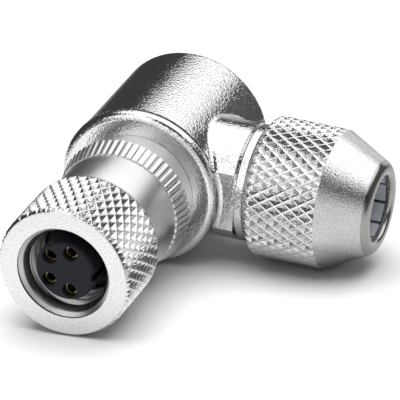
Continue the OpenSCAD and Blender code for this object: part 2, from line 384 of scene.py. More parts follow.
def close_tree(nodes, geometry, material):
    """Realizes the flat-shaded shape, sets its material and ends the tree."""
    real = nodes.new("GeometryNodeRealizeInstances", {"Geometry": geometry})
    shade = nodes.new("GeometryNodeSetShadeSmooth", {"Geometry": real.outputs[0], "Shade Smooth": False})
    paint = nodes.new("GeometryNodeSetMaterial", {"Geometry": shade.outputs[0], "Material": material})
    nodes.new("NodeGroupOutput", {"Geometry": paint.outputs[0]})
    return nodes.tree


def wrap(nodes, arc, axial, radius, base):
    """Position of a flat sheet point that is wrapped round the Z axis."""
    angle = nodes.math("DIVIDE", arc, base)
    x = nodes.math("MULTIPLY", radius, nodes.math("COSINE", angle))
    y = nodes.math("MULTIPLY", radius, nodes.math("SINE", angle))
    return nodes.combine(x, y, axial)


def knurl_tree():
    """Lattice of ridges with diamond pits: a flat sheet, wrapped round and sloped off at its ends."""
    nodes, given = geometry_tree("diamond_knurl", {
        "Columns": WHOLE, "Levels": WHOLE, "Start": NUMBER, "Length": NUMBER, "Tip Radius": NUMBER,
        "Depth": NUMBER, "Ridge": NUMBER, "Ease": NUMBER, "Floor": NUMBER, "Start Edge": NUMBER,
        "Start Slope": NUMBER, "End Edge": NUMBER, "End Slope": NUMBER, "Cap Radius": NUMBER,
        "Material": FINISH})
    root = nodes.math("SUBTRACT", given["Tip Radius"], given["Depth"])
    width = nodes.math("DIVIDE", nodes.math("MULTIPLY", root, TURN), given["Columns"])
    step = nodes.math("DIVIDE", given["Length"], nodes.math("SUBTRACT", given["Levels"], 1))

    # A point for each pit, level by level, with every other level shifted by half a pit.
    index = nodes.index()
    level = nodes.math("FLOOR", nodes.math("DIVIDE", nodes.math("ADD", index, 0.5), given["Columns"]))
    column = nodes.math("SUBTRACT", index, nodes.math("MULTIPLY", level, given["Columns"]))
    stagger = nodes.math("MULTIPLY", nodes.math("MODULO", level, 2), 0.5)
    across = nodes.math("MULTIPLY", nodes.math("ADD", column, stagger), width)
    count = nodes.math("MULTIPLY", given["Columns"], given["Levels"])
    place = nodes.combine(across, nodes.math("MULTIPLY", level, step), 0.0)
    points = nodes.new("GeometryNodePoints", {"Count": count, "Position": place})

    # A pit is a four-sided cone without its base: the lower half is the ridge, the upper half the wall.
    inner = nodes.math("SUBTRACT", 1.0, nodes.math("MULTIPLY", given["Ridge"], 2.0))
    diamond = nodes.new("GeometryNodeMeshCone", {
        "Vertices": 4, "Side Segments": 2, "Radius Top": inner, "Radius Bottom": 1.0, "Depth": 1.0})
    open_diamond = nodes.new("GeometryNodeDeleteGeometry", {
        "Geometry": diamond.outputs["Mesh"], "Selection": diamond.outputs["Bottom"]}, domain="FACE")
    plain = nodes.separate(nodes.position())
    over_edge = nodes.math("MINIMUM", nodes.math("MULTIPLY", plain["Z"], 2.0), 1.0)
    down_wall = nodes.math("MAXIMUM", nodes.math("MULTIPLY_ADD", plain["Z"], 2.0, -1.0), 0.0)
    narrow = nodes.span(down_wall, 0.0, 1.0, 1.0, nodes.math("DIVIDE", given["Floor"], inner))
    wall_fall = nodes.math("MULTIPLY", down_wall, nodes.math("SUBTRACT", 1.0, given["Ease"]))
    fall = nodes.math("MULTIPLY_ADD", over_edge, given["Ease"], wall_fall)
    sunk = nodes.combine(nodes.math("MULTIPLY", plain["X"], narrow),
                         nodes.math("MULTIPLY", plain["Y"], narrow),
                         nodes.math("SUBTRACT", 1.0, fall))
    pit = nodes.new("GeometryNodeSetPosition", {"Geometry": open_diamond.outputs[0], "Position": sunk})
    size = nodes.combine(nodes.math("MULTIPLY", width, 0.5), step, given["Depth"])
    spread = nodes.new("GeometryNodeInstanceOnPoints", {
        "Points": points.outputs[0], "Instance": pit.outputs[0], "Scale": size})
    sheet = nodes.new("GeometryNodeRealizeInstances", {"Geometry": spread.outputs[0]})
    fine = nodes.new("GeometryNodeSubdivideMesh", {"Mesh": sheet.outputs[0], "Level": 1})

    # What lies past the two ends is cut off, and the rest is wrapped round below the end slopes.
    spot = nodes.separate(nodes.position())
    past_start = nodes.math("LESS_THAN", spot["Y"], -JOIN_DISTANCE)
    far_end = nodes.math("ADD", given["Length"], JOIN_DISTANCE)
    past_end = nodes.math("GREATER_THAN", spot["Y"], far_end)
    cut_off = nodes.new("GeometryNodeDeleteGeometry", {
        "Geometry": fine.outputs[0], "Selection": nodes.math("MAXIMUM", past_start, past_end)},
        domain="FACE")
    axial = nodes.math("MINIMUM", nodes.math("MAXIMUM", spot["Y"], 0.0), given["Length"])
    to_end = nodes.math("SUBTRACT", given["Length"], axial)
    start_limit = nodes.math("MULTIPLY_ADD", axial, given["Start Slope"], given["Start Edge"])
    end_limit = nodes.math("MULTIPLY_ADD", to_end, given["End Slope"], given["End Edge"])
    limit = nodes.math("MINIMUM", start_limit, end_limit)
    radius = nodes.math("MINIMUM", nodes.math("ADD", root, spot["Z"]), limit)
    height = nodes.math("ADD", axial, given["Start"])
    round_sheet = nodes.new("GeometryNodeSetPosition", {
        "Geometry": cut_off.outputs[0], "Position": wrap(nodes, spot["X"], height, radius, root)})
    merged = nodes.new("GeometryNodeMergeByDistance", {
        "Geometry": round_sheet.outputs[0], "Distance": JOIN_DISTANCE})

    # The open edges, those with one face, are drawn inwards as end caps.
    faces_beside = nodes.new("GeometryNodeInputMeshEdgeNeighbors").outputs["Face Count"]
    capped = nodes.new("GeometryNodeExtrudeMesh", {
        "Mesh": merged.outputs[0], "Selection": nodes.math("LESS_THAN", faces_beside, 1.5),
        "Offset Scale": 0.0}, mode="EDGES")
    rim = nodes.position()
    reach = nodes.measure("LENGTH", nodes.vector("MULTIPLY", rim, (1, 1, 0)))
    inwards = nodes.math("DIVIDE", given["Cap Radius"], reach)
    inner_rim = nodes.vector("MULTIPLY", rim, nodes.combine(inwards, inwards, 1.0))
    closed = nodes.new("GeometryNodeSetPosition", {
        "Geometry": capped.outputs["Mesh"], "Selection": capped.outputs["Top"], "Position": inner_rim})
    return close_tree(nodes, closed.outputs[0], given["Material"])


def rib_tree():
    """Straight ribs with sloped flanks and ends, side by side round a ring that tapers to the front."""
    nodes, given = geometry_tree("grip_ribs", {
        "Teeth": WHOLE, "Start": NUMBER, "Length": NUMBER, "Root Radius": NUMBER, "Depth": NUMBER,
        "Foot": NUMBER, "Tip": NUMBER, "End Slope": NUMBER, "Taper": NUMBER, "Material": FINISH})
    width = nodes.math("DIVIDE", nodes.math("MULTIPLY", given["Root Radius"], TURN), given["Teeth"])
    place = nodes.combine(nodes.math("MULTIPLY", nodes.index(), width), 0.0, 0.0)
    points = nodes.new("GeometryNodePoints", {"Count": given["Teeth"], "Position": place})

    # One rib, from a block of size 1: narrower at its tip, crowned across, shorter towards its tip.
    block = nodes.new("GeometryNodeMeshCube", {
        "Size": (1, 1, 1), "Vertices X": 4, "Vertices Y": 4, "Vertices Z": 3})
    spot = nodes.separate(nodes.position())
    height = nodes.math("ADD", spot["Z"], 0.5)
    from_middle = nodes.math("POWER", nodes.math("MULTIPLY", spot["X"], 2), 2)
    crown = nodes.math("SUBTRACT", 1, nodes.math("MULTIPLY", from_middle, RIB_CROWN))
    tall = nodes.math("MULTIPLY", height, nodes.math("MULTIPLY", crown, given["Depth"]))
    share = nodes.span(height, 0.0, 1.0, given["Foot"], given["Tip"])
    across = nodes.math("MULTIPLY", nodes.math("MULTIPLY", spot["X"], width), share)
    shorter = nodes.math("MULTIPLY", nodes.math("MULTIPLY", tall, given["End Slope"]), 2)
    along = nodes.math("MULTIPLY", spot["Y"], nodes.math("SUBTRACT", given["Length"], shorter))
    rib = nodes.new("GeometryNodeSetPosition", {
        "Geometry": block.outputs["Mesh"], "Position": nodes.combine(across, along, tall)})
    spread = nodes.new("GeometryNodeInstanceOnPoints", {
        "Points": points.outputs[0], "Instance": rib.outputs[0]})
    sheet = nodes.new("GeometryNodeRealizeInstances", {"Geometry": spread.outputs[0]})

    # The row of ribs is wrapped round the cone that they stand on.
    flat = nodes.separate(nodes.position())
    middle = nodes.math("MULTIPLY_ADD", given["Length"], 0.5, given["Start"])
    axial = nodes.math("ADD", flat["Y"], middle)
    from_front = nodes.math("SUBTRACT", nodes.math("MULTIPLY", given["Length"], 0.5), flat["Y"])
    root = nodes.math("MULTIPLY_ADD", from_front, given["Taper"], given["Root Radius"])
    radius = nodes.math("ADD", flat["Z"], root)
    ring = nodes.new("GeometryNodeSetPosition", {
        "Geometry": sheet.outputs[0],
        "Position": wrap(nodes, flat["X"], axial, radius, given["Root Radius"])})
    return close_tree(nodes, ring.outputs[0], given["Material"])


def thread_tree():
    """One ridge of a screw thread that rises out of its wall and sinks back into it."""
    nodes, given = geometry_tree("thread_ridge", {
        "Turns": NUMBER, "Pitch": NUMBER, "First Angle": NUMBER, "Start": NUMBER, "Wall Radius": NUMBER,
        "Crest Radius": NUMBER, "Foot": NUMBER, "Crest": NUMBER, "Run Out": NUMBER, "Steps": WHOLE,
        "Material": FINISH})
    strip = nodes.new("GeometryNodeMeshCube", {
        "Size": (1, 1, 1), "Vertices X": given["Steps"], "Vertices Y": 2, "Vertices Z": 2})
    spot = nodes.separate(nodes.position())
    along = nodes.math("ADD", spot["X"], 0.5)
    turned_by = nodes.math("MULTIPLY", along, given["Turns"])
    height = nodes.math("ADD", spot["Z"], 0.5)
    left = nodes.math("SUBTRACT", given["Turns"], turned_by)
    from_end = nodes.math("MINIMUM", turned_by, left)
    rise = nodes.span(from_end, 0.0, given["Run Out"], THREAD_RISE, 1.0)
    reach = nodes.math("SUBTRACT", given["Crest Radius"], given["Wall Radius"])
    out = nodes.math("MULTIPLY", nodes.math("MULTIPLY", height, rise), reach)
    radius = nodes.math("ADD", given["Wall Radius"], out)
    share = nodes.span(height, 0.0, 1.0, given["Foot"], given["Crest"])
    side = nodes.math("MULTIPLY", nodes.math("MULTIPLY", spot["Y"], share), given["Pitch"])
    climb = nodes.math("MULTIPLY_ADD", turned_by, given["Pitch"], given["Start"])
    axial = nodes.math("ADD", climb, side)
    arc = nodes.math("MULTIPLY_ADD", turned_by, TURN, given["First Angle"])
    ridge = nodes.new("GeometryNodeSetPosition", {
        "Geometry": strip.outputs["Mesh"], "Position": wrap(nodes, arc, axial, radius, 1.0)})
    return close_tree(nodes, ridge.outputs[0], given["Material"])


def grown(name, tree, values, place):
    """Mesh that a Geometry Nodes tree makes from these values, put on one of the two axes."""
    holder = placed(name, bpy.data.meshes.new(name + "_seed"))
    modifier = holder.modifiers.new("grow", "NODES")
    modifier.node_group = tree
    for item in tree.interface.items_tree:
        if item.in_out == "INPUT":
            modifier[item.identifier] = values[item.name]
    graph = bpy.context.evaluated_depsgraph_get()
    mesh = bpy.data.meshes.new_from_object(holder.evaluated_get(graph))
    holder.modifiers.remove(modifier)
    bpy.data.objects.remove(holder)
    mesh.transform(place)
    return mesh


# Materials


def shader_group(name, inputs, outputs):
    """Empty shader group with named sockets; returns its nodes and its input sockets."""
    tree = bpy.data.node_groups.new(name, "ShaderNodeTree")
    for label, kind in inputs.items():
        tree.interface.new_socket(label, in_out="INPUT", socket_type=kind)
    for label, kind in outputs.items():
        tree.interface.new_socket(label, in_out="OUTPUT", socket_type=kind)
    nodes = Nodes(tree)
    return nodes, nodes.new("NodeGroupInput").outputs


def grain_group():
    """Fine pits and soft clouds of a cast and plated skin."""
    nodes, given = shader_group(
        "cast_grain", {"Vector": VECTOR, "Pit Scale": NUMBER, "Cloud Scale": NUMBER},
        {"Height": NUMBER, "Cloud": NUMBER, "Speckle": NUMBER})
    where = given["Vector"]
    pits = nodes.noise(Vector=where, Scale=given["Pit Scale"], Detail=0.4, Roughness=0.5)
    cloud = nodes.noise(Vector=where, Scale=given["Cloud Scale"], Detail=3.0, Roughness=0.55)
    nodes.new("NodeGroupOutput", {
        "Height": pits, "Cloud": cloud, "Speckle": nodes.span(pits, *SPECKLE)})
    return nodes.tree


def tool_mark_group():
    """Fine rings that a turning tool leaves round an axis."""
    nodes, given = shader_group(
        "tool_marks", {"Along": NUMBER, "Vector": VECTOR, "Density": NUMBER},
        {"Height": NUMBER, "Shade": NUMBER})
    along = nodes.math("MULTIPLY", given["Along"], given["Density"])
    rings = nodes.new("ShaderNodeTexNoise", {"W": along, "Scale": 1.0, "Detail": 3.0},
                      noise_dimensions="1D").outputs[0]
    patches = nodes.noise(Vector=given["Vector"], Scale=900.0, Detail=2.0)
    shade = nodes.math("MULTIPLY_ADD", patches, 0.4, nodes.math("MULTIPLY", rings, 0.6))
    nodes.new("NodeGroupOutput", {"Height": rings, "Shade": shade})
    return nodes.tree


def depth_group():
    """Share of the way from one distance from an axis to another, such as up the wall of a pit."""
    nodes, given = shader_group(
        "cut_depth", {"Vector": VECTOR, "Root": NUMBER, "Tip": NUMBER}, {"Share": NUMBER})
    reach = nodes.measure("LENGTH", given["Vector"])
    nodes.new("NodeGroupOutput", {"Share": nodes.span(reach, given["Root"], given["Tip"])})
    return nodes.tree


def material(name):
    """New material; returns it with its nodes, its Principled shader and its Object coordinates."""
    made = bpy.data.materials.new(name)
    made.use_nodes = True
    nodes = Nodes(made.node_tree)
    shader = made.node_tree.nodes["Principled BSDF"]
    where = nodes.new("ShaderNodeTexCoord").outputs["Object"]
    return made, nodes, shader, where


def group_node(nodes, tree, inputs):
    node = nodes.new("ShaderNodeGroup", node_tree=tree)
    for key, value in inputs.items():
        nodes.feed(node.inputs[key], value)
    return node.outputs


def mixed_colour(nodes, factor, low, high):
    """Colour between two, from low at factor 0 to high at factor 1."""
    node = nodes.new("ShaderNodeMix", data_type="RGBA")
    colours = [socket for socket in node.inputs if socket.type == "RGBA"]
    nodes.feed(node.inputs[0], factor)
    nodes.feed(colours[0], (*low, 1))
    nodes.feed(colours[1], (*high, 1))
    return [socket for socket in node.outputs if socket.type == "RGBA"][0]


def coat(nodes, shader, colour, roughness, metallic=1.0):
    """Feeds a finish its colour and roughness, and sets whether it is metal."""
    nodes.feed(shader.inputs["Base Color"], colour)
    nodes.feed(shader.inputs["Roughness"], roughness)
    shader.inputs["Metallic"].default_value = metallic


def bump(nodes, shader, height, strength, distance):
    node = nodes.new("ShaderNodeBump", {
        "Height": height, "Strength": strength, "Distance": distance * MM})
    nodes.feed(shader.inputs["Normal"], node.outputs[0])


def cast_nickel():
    """Grainy plated casting with painted shade in the groove behind the rim, and a mould seam along the
    branch.
    """
    groove_edge, groove_top, groove_floor, groove_shade_strength = 0.04, 0.03, 0.12, 0.85
    seam_inside, seam_outside, seam_from, seam_full, seam_height = 0.02, 0.09, 6.6, 6.9, 0.35
    made, nodes, shader, where = material("cast_nickel")
    grain = group_node(nodes, GRAIN, {"Vector": where, "Pit Scale": 5600.0, "Cloud Scale": 420.0})
    tone = nodes.math("MULTIPLY_ADD", grain["Speckle"], 0.6, nodes.math("MULTIPLY", grain["Cloud"], 0.4))
    spot = nodes.separate(where)
    front, back = CROSSING - GROOVE_FRONT, CROSSING - GROOVE_BACK
    past_front = nodes.span(spot["Y"], front * MM, (front + groove_edge) * MM)
    before_back = nodes.span(spot["Y"], (back - groove_edge) * MM, back * MM, 1.0, 0.0)
    sunk = group_node(nodes, CUT_DEPTH, {
        "Vector": nodes.combine(spot["X"], 0.0, spot["Z"]),
        "Root": (BARREL_R - groove_top) * MM, "Tip": (BARREL_R - groove_floor) * MM})["Share"]
    # Painted shade: the groove behind the rim is coloured darker than the rest of the casting.
    groove = nodes.math("MULTIPLY", nodes.math("MULTIPLY", past_front, before_back), sunk)
    unshaded_share = nodes.math("SUBTRACT", 1.0, nodes.math("MULTIPLY", groove, groove_shade_strength))
    skin = mixed_colour(nodes, tone, (0.62, 0.625, 0.62), (0.84, 0.845, 0.84))
    shade = nodes.new("ShaderNodeVectorMath", {0: skin, "Scale": unshaded_share}, operation="SCALE").outputs[0]
    coat(nodes, shader, shade, nodes.span(grain["Cloud"], *NOISE, 0.09, 0.13))
    from_seam = nodes.math("ABSOLUTE", spot["Z"])
    seam = nodes.span(from_seam, seam_inside * MM, seam_outside * MM, 1.0, 0.0)
    on_branch = nodes.span(spot["X"], seam_from * MM, seam_full * MM)
    raised = nodes.math("MULTIPLY", seam, on_branch)
    height = nodes.math("MULTIPLY_ADD", raised, seam_height, grain["Height"])
    bump(nodes, shader, height, 1.0, 0.026)
    return made


def turned_nickel(name, low, high):
    """Plated metal with rings of tool marks round the coupling axis."""
    made, nodes, shader, where = material(name)
    along = nodes.separate(where)["Y"]
    marks = group_node(nodes, TOOL_MARKS, {"Along": along, "Vector": where, "Density": 9000.0})
    coat(nodes, shader, mixed_colour(nodes, marks["Shade"], low, high),
         nodes.span(marks["Shade"], *NOISE, 0.27, 0.36))
    bump(nodes, shader, marks["Height"], 0.15, 0.01)
    return made


def knurled_nickel(name, keep, shift, root, tip):
    """Plated knurl, rougher on its ridges, with painted highlight on the ridges and painted shade in the
    pits; keep picks the two axes across the piece.
    """
    made, nodes, shader, where = material(name)
    across = nodes.vector("MULTIPLY", nodes.vector("SUBTRACT", where, shift), keep)
    share = group_node(nodes, CUT_DEPTH, {
        "Vector": across, "Root": root * MM, "Tip": tip * MM})["Share"]
    ridge = nodes.span(share, 0.86, 0.96)
    grain = group_node(nodes, GRAIN, {"Vector": where, "Pit Scale": 7000.0, "Cloud Scale": 600.0})
    # Painted highlight and shade: the ridges are coloured lighter and the pits darker.
    tone = nodes.math("MULTIPLY_ADD", ridge, 0.6, nodes.math("MULTIPLY", grain["Speckle"], 0.4))
    coat(nodes, shader, mixed_colour(nodes, tone, (0.66, 0.665, 0.66), (0.92, 0.925, 0.92)),
         nodes.span(ridge, 0.0, 1.0, 0.16, 0.26))
    bump(nodes, shader, grain["Height"], 0.5, 0.04)
    return made


def satin_nickel():
    """Finely blasted plated metal."""
    made, nodes, shader, where = material("satin_nickel")
    grain = group_node(nodes, GRAIN, {"Vector": where, "Pit Scale": 7500.0, "Cloud Scale": 500.0})
    coat(nodes, shader,
         mixed_colour(nodes, grain["Speckle"], (0.68, 0.685, 0.69), (0.84, 0.845, 0.85)),
         nodes.span(grain["Cloud"], *NOISE, 0.23, 0.29))
    bump(nodes, shader, grain["Height"], 1.0, 0.02)
    return made


def polished_nickel():
    """Bright nose of the gland nut, with faint rings round the gland axis."""
    made, nodes, shader, where = material("polished_nickel")
    along = nodes.separate(where)["X"]
    marks = group_node(nodes, TOOL_MARKS, {"Along": along, "Vector": where, "Density": 7000.0})
    coat(nodes, shader,
         mixed_colour(nodes, marks["Shade"], (0.40, 0.40, 0.385), (0.54, 0.54, 0.52)),
         nodes.span(marks["Shade"], *NOISE, 0.12, 0.22))
    return made


def dull_finish(name, low, high, rough, pit_scale, depth, metallic=0.0, shine=0.5):
    """Plastic, rubber or plain metal with a fine skin and soft clouds of tone."""
    pits_in_cloud, rough_change = 14, 0.06
    made, nodes, shader, where = material(name)
    grain = group_node(nodes, GRAIN, {
        "Vector": where, "Pit Scale": pit_scale, "Cloud Scale": pit_scale / pits_in_cloud})
    coat(nodes, shader, mixed_colour(nodes, grain["Cloud"], low, high),
         nodes.span(grain["Cloud"], *NOISE, rough - rough_change, rough + rough_change), metallic)
    shader.inputs["Specular IOR Level"].default_value = shine
    bump(nodes, shader, grain["Height"], 0.3, depth)
    return made


# Pieces


def coupling_nut():
    body_r = NUT_TIP_R - NUT_KNURL_DEPTH - KNURL_BURY
    knurl_back = NUT_BACK + NUT_RIM
    profile = [
        (NUT_WEB_R, NUT_BACK, NUT_WEB_BACK_FILLET), (NUT_RIM_R, NUT_BACK, NUT_RIM_FILLET),
        (NUT_RIM_R, knurl_back), (body_r, knurl_back + NUT_RIM_STEP),
        (body_r, NUT_FRONT - NUT_FACE_CHAMFER), (body_r - NUT_FACE_CHAMFER, NUT_FRONT),
        (NUT_MOUTH_R, NUT_FRONT, NUT_MOUTH_FILLET), (NUT_MOUTH_R, NUT_MOUTH_STEP, NUT_STEP_FILLET),
        (NUT_SINK_R, NUT_SINK_MIDDLE, NUT_SINK_BEND), (COUPLING_CREST_R, NUT_SINK_END, NUT_SINK_FILLET),
        (COUPLING_CREST_R, NUT_SINK_END - COUPLING_LAND),
        (COUPLING_ROOT_R, NUT_SINK_END - COUPLING_ROOT_START), (COUPLING_ROOT_R, NUT_WEB_FRONT),
        (NUT_WEB_R, NUT_WEB_FRONT, NUT_WEB_FRONT_FILLET)]
    body = turned("coupling_nut_body", profile, ON_FRONT)
    knurl = grown("coupling_nut_knurl", KNURL, {
        "Columns": NUT_KNURL_COLUMNS, "Levels": NUT_KNURL_LEVELS,
        "Start": knurl_back * MM, "Length": (NUT_FRONT - knurl_back - NUT_KNURL_INSET) * MM,
        "Tip Radius": NUT_TIP_R * MM, "Depth": NUT_KNURL_DEPTH * MM,
        "Ridge": NUT_KNURL_RIDGE, "Ease": KNURL_EASE, "Floor": KNURL_FLOOR,
        "Start Edge": NUT_RIM_R * MM, "Start Slope": NUT_KNURL_BACK_SLOPE,
        "End Edge": NUT_FACE_EDGE * MM, "End Slope": NUT_KNURL_FRONT_SLOPE,
        "Cap Radius": (body_r - KNURL_CAP) * MM, "Material": KNURLED_FRONT}, ON_FRONT)
    first_turn = NUT_SINK_END - COUPLING_FIRST_TURN
    depth = first_turn - NUT_WEB_FRONT - COUPLING_LAST_TURN
    turns = depth / COUPLING_PITCH
    thread = outward(grown("coupling_nut_thread", THREAD, {
        "Turns": turns, "Pitch": COUPLING_PITCH * MM,
        "First Angle": COUPLING_THREAD_ANGLE - turns * TURN, "Start": (first_turn - depth) * MM,
        "Wall Radius": (COUPLING_ROOT_R + THREAD_BURY) * MM, "Crest Radius": COUPLING_CREST_R * MM,
        "Foot": 0.84, "Crest": 0.14, "Run Out": 0.06, "Steps": 420, "Material": SHADED_THREAD}, ON_FRONT))
    piece = joined("coupling_nut_turned", [(body, BODY), (knurl, KNURLED), (thread, OTHER)],
                   [SATIN, KNURLED_FRONT, SHADED_THREAD])
    # Painted shade: the mouth inside the front step gets the darker thread finish.
    inside_r = (NUT_MOUTH_R - NUT_MOUTH_MARGIN) * MM
    inside_y = (NUT_FRONT - NUT_MOUTH_STEP) * MM
    paint_faces(piece, OTHER, lambda centre: math.hypot(centre.x, centre.z) < inside_r
                and centre.y > inside_y)
    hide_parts("coupling_nut")
    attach(piece, "nut")


def screw_collar():
    root = RING_FRONT_R - RING_TOOTH
    root_back = root + RING_TAPER * (RING_FRONT - RING_BACK)
    profile = [
        (COLLAR_BORE_R, COLLAR_BACK, COLLAR_BORE_FILLET), (COLLAR_CORE_R, COLLAR_BACK, COLLAR_CORE_FILLET),
        (COLLAR_CORE_R, COLLAR_RELIEF), (COLLAR_RELIEF_R, COLLAR_RELIEF + COLLAR_RELIEF_STEP),
        (COLLAR_RELIEF_R, HOUSING_FACE), (SHANK_R, HOUSING_FACE + SHANK_STEP, SHANK_FILLET),
        (SHANK_R, RING_BACK, RING_BACK_FILLET),
        (root_back + RIB_BURY, RING_BACK + RING_BACK_STEP, RING_EDGE_FILLET),
        (root + RIB_BURY, RING_FRONT - RING_FRONT_INSET), (NECK_R, RING_FRONT + NECK_STEP),
        (NECK_R, NECK_FRONT, NECK_FILLET), (COLLAR_BORE_R, NECK_FRONT, NECK_BORE_FILLET)]
    body = turned("screw_collar_body", profile, ON_FRONT)
    ribs = grown("screw_collar_ribs", RIBS, {
        "Teeth": RING_TEETH, "Start": (RING_BACK + RIB_INSET) * MM,
        "Length": (RING_FRONT - RING_BACK - 2 * RIB_INSET) * MM,
        "Root Radius": root * MM, "Depth": RING_TOOTH * MM, "Foot": RIB_FOOT, "Tip": RIB_TIP,
        "End Slope": RIB_END_SLOPE, "Taper": RING_TAPER, "Material": TURNED}, ON_FRONT)
    turns = (COLLAR_RELIEF - COLLAR_BACK) / COLLAR_PITCH - COLLAR_TURNS_SHORT
    thread = outward(grown("screw_collar_thread", THREAD, {
        "Turns": turns, "Pitch": COLLAR_PITCH * MM, "First Angle": 0.0,
        "Start": (COLLAR_BACK + COLLAR_PITCH * COLLAR_LEAD) * MM,
        "Wall Radius": (COLLAR_CORE_R - THREAD_BURY) * MM, "Crest Radius": COLLAR_THREAD_R * MM,
        "Foot": 0.86, "Crest": 0.16, "Run Out": 0.15, "Steps": 240, "Material": TURNED}, ON_FRONT))
    piece = joined("screw_collar_turned", [(body, BODY), (ribs, BODY), (thread, BODY)], [TURNED])
    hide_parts("screw_collar")
    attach(piece, "collar")


def gland_nut():
    body_r = GLAND_TIP_R - GLAND_KNURL_DEPTH - KNURL_BURY
    profile = [
        (GLAND_BORE_R, GLAND_BACK, GLAND_BORE_FILLET), (GLAND_BACK_R, GLAND_BACK, GLAND_BACK_FILLET),
        (body_r, GLAND_KNURL_BACK + GLAND_BEVEL_END), (body_r, GLAND_CONE_START - GLAND_CONE_STEP),
        (GLAND_CONE_R, GLAND_CONE_START, GLAND_CONE_FILLET), (NOSE_CORNER_R, NOSE_END, NOSE_BEAD),
        (CABLE_R, NOSE_END, NOSE_ROUND), (CABLE_R, NOSE_SHOULDER),
        (GLAND_TIP_CONE_R, NOSE_SHOULDER), (GLAND_TIP_CONE_R, GLAND_TIP_CONE_END),
        (GLAND_CAGE_R, GLAND_CAGE_END), (GLAND_CAGE_R, GLAND_BORE_END), (GLAND_BORE_R, GLAND_BORE_END)]
    body = turned("gland_nut_body", profile, ON_SIDE)
    knurl = grown("gland_nut_knurl", KNURL, {
        "Columns": GLAND_KNURL_COLUMNS, "Levels": GLAND_KNURL_LEVELS,
        "Start": GLAND_KNURL_BACK * MM, "Length": (GLAND_CONE_START - GLAND_KNURL_BACK) * MM,
        "Tip Radius": GLAND_TIP_R * MM, "Depth": GLAND_KNURL_DEPTH * MM,
        "Ridge": GLAND_KNURL_RIDGE, "Ease": KNURL_EASE, "Floor": KNURL_FLOOR,
        "Start Edge": (body_r - GLAND_KNURL_BACK_DROP) * MM, "Start Slope": GLAND_KNURL_BACK_SLOPE,
        "End Edge": (GLAND_TIP_R - GLAND_KNURL_FRONT_DROP) * MM, "End Slope": GLAND_KNURL_FRONT_SLOPE,
        "Cap Radius": (body_r - KNURL_CAP) * MM, "Material": KNURLED_SIDE}, ON_SIDE)
    piece = joined("gland_nut_turned", [(body, BODY), (knurl, KNURLED)], [SATIN, KNURLED_SIDE, POLISHED])
    paint_faces(piece, OTHER, lambda centre: centre.x > NOSE_POLISH * MM)
    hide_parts("gland_nut")
    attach(piece, "gland")


def branch_section(count):
    """Points and outward directions round the branch, a circle with two flats and eased corners."""
    half_flat = math.acos(FLATS_HALF / BRANCH_R)
    section = []
    for i in range(count):
        t = TURN * i / count
        from_flat = min(t % math.pi, math.pi - t % math.pi)
        normal = Vector((math.cos(t), math.sin(t)))
        point = normal * BRANCH_R
        if from_flat < half_flat:
            point.x = math.copysign(FLATS_HALF, point.x)
            ease = min(1, (half_flat - from_flat) / FLAT_EASE)
            flat_normal = Vector((math.copysign(1, point.x), 0))
            normal = normal.lerp(flat_normal, ease).normalized()
        section.append((point, normal))
    return section


def branch_fillet():
    """Cast fillet where the branch leaves the barrel, rolled round with a small ball."""
    bm = bmesh.new()
    rings = []
    for point, normal in branch_section(FILLET_STEPS):
        ball = FILLET_BALL + FILLET_TOP_GROWTH * abs(normal.y) ** 2
        y, z = point.x + ball * normal.x, point.y + ball * normal.y
        x = math.sqrt((BARREL_R + ball) ** 2 - z * z)
        centre = Vector((x, y, z))
        to_branch = Vector((0, -normal.x, -normal.y))
        to_barrel = Vector((-x, 0, -z)).normalized()
        ring = [centre + to_branch.slerp(to_barrel, k / FILLET_ARC) * ball for k in range(FILLET_ARC + 1)]
        ring[0] = ring[0] + to_branch * FILLET_EDGE_BURY
        ring[-1] = ring[-1] + to_barrel * FILLET_EDGE_BURY
        corner_x = math.sqrt(BARREL_R**2 - point.y**2) - FILLET_BURY
        inside = point - FILLET_BURY * normal
        ring.append(Vector((corner_x, inside.x, inside.y)))
        rings.append([bm.verts.new((v + Vector((0, CROSSING, 0))) * MM) for v in ring])
    torus_faces(bm, rings)
    mesh = mesh_from(bm, "branch_fillet")
    smooth(mesh)
    piece = joined("branch_fillet", [(mesh, BODY)], [CAST])
    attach(piece, "housing")


def finish_cad_nodes():
    """Puts the finished materials on the CAD nodes that stay."""
    finishes = {
        "angle_housing": CAST, "collar_seal": BLACK_RUBBER, "insert_sleeve": TURNED,
        "nut_keeper_ring": KEEPER_STEEL, "contact_carrier": CARRIER, "socket_contact_1": GOLD,
        "socket_contact_2": GOLD, "socket_contact_3": GOLD, "socket_contact_4": GOLD,
        "face_seal": BLACK_RUBBER, "insulating_liner": LINER, "cable_seal": GREY_RUBBER,
        "thrust_ring": RING_PLASTIC, "clamp_cage": CAGE}
    for node, finish in finishes.items():
        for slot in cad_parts[node].material_slots:
            slot.material = finish


# Stage


def floor():
    """Pale table top that touches the rim, the coupling nut and the gland nut, and fades out far away."""
    bm = bmesh.new()

    def on_floor(r, t):
        x, y = STAGE_CENTRE[0] + r * math.cos(t), STAGE_CENTRE[1] + r * math.sin(t)
        return bm.verts.new(Vector((x, y, FLOOR_LOW + FLOOR_RISE_X * x + FLOOR_RISE_Y * y)) * MM)

    grid = [[on_floor(FLOOR_RADIUS * i / FLOOR_RINGS, TURN * j / FLOOR_SPOKES)
             for j in range(FLOOR_SPOKES)] for i in range(1, FLOOR_RINGS + 1)]
    hub = on_floor(0.0, 0.0)
    for j in range(FLOOR_SPOKES):
        k = (j + 1) % FLOOR_SPOKES
        bm.faces.new((hub, grid[0][j], grid[0][k]))
        for i in range(FLOOR_RINGS - 1):
            bm.faces.new((grid[i][j], grid[i + 1][j], grid[i + 1][k], grid[i][k]))
    bmesh.ops.recalc_face_normals(bm, faces=bm.faces)
    mesh = mesh_from(bm, "table_top")
    mesh.materials.append(table_finish())
    placed("table_top", mesh)


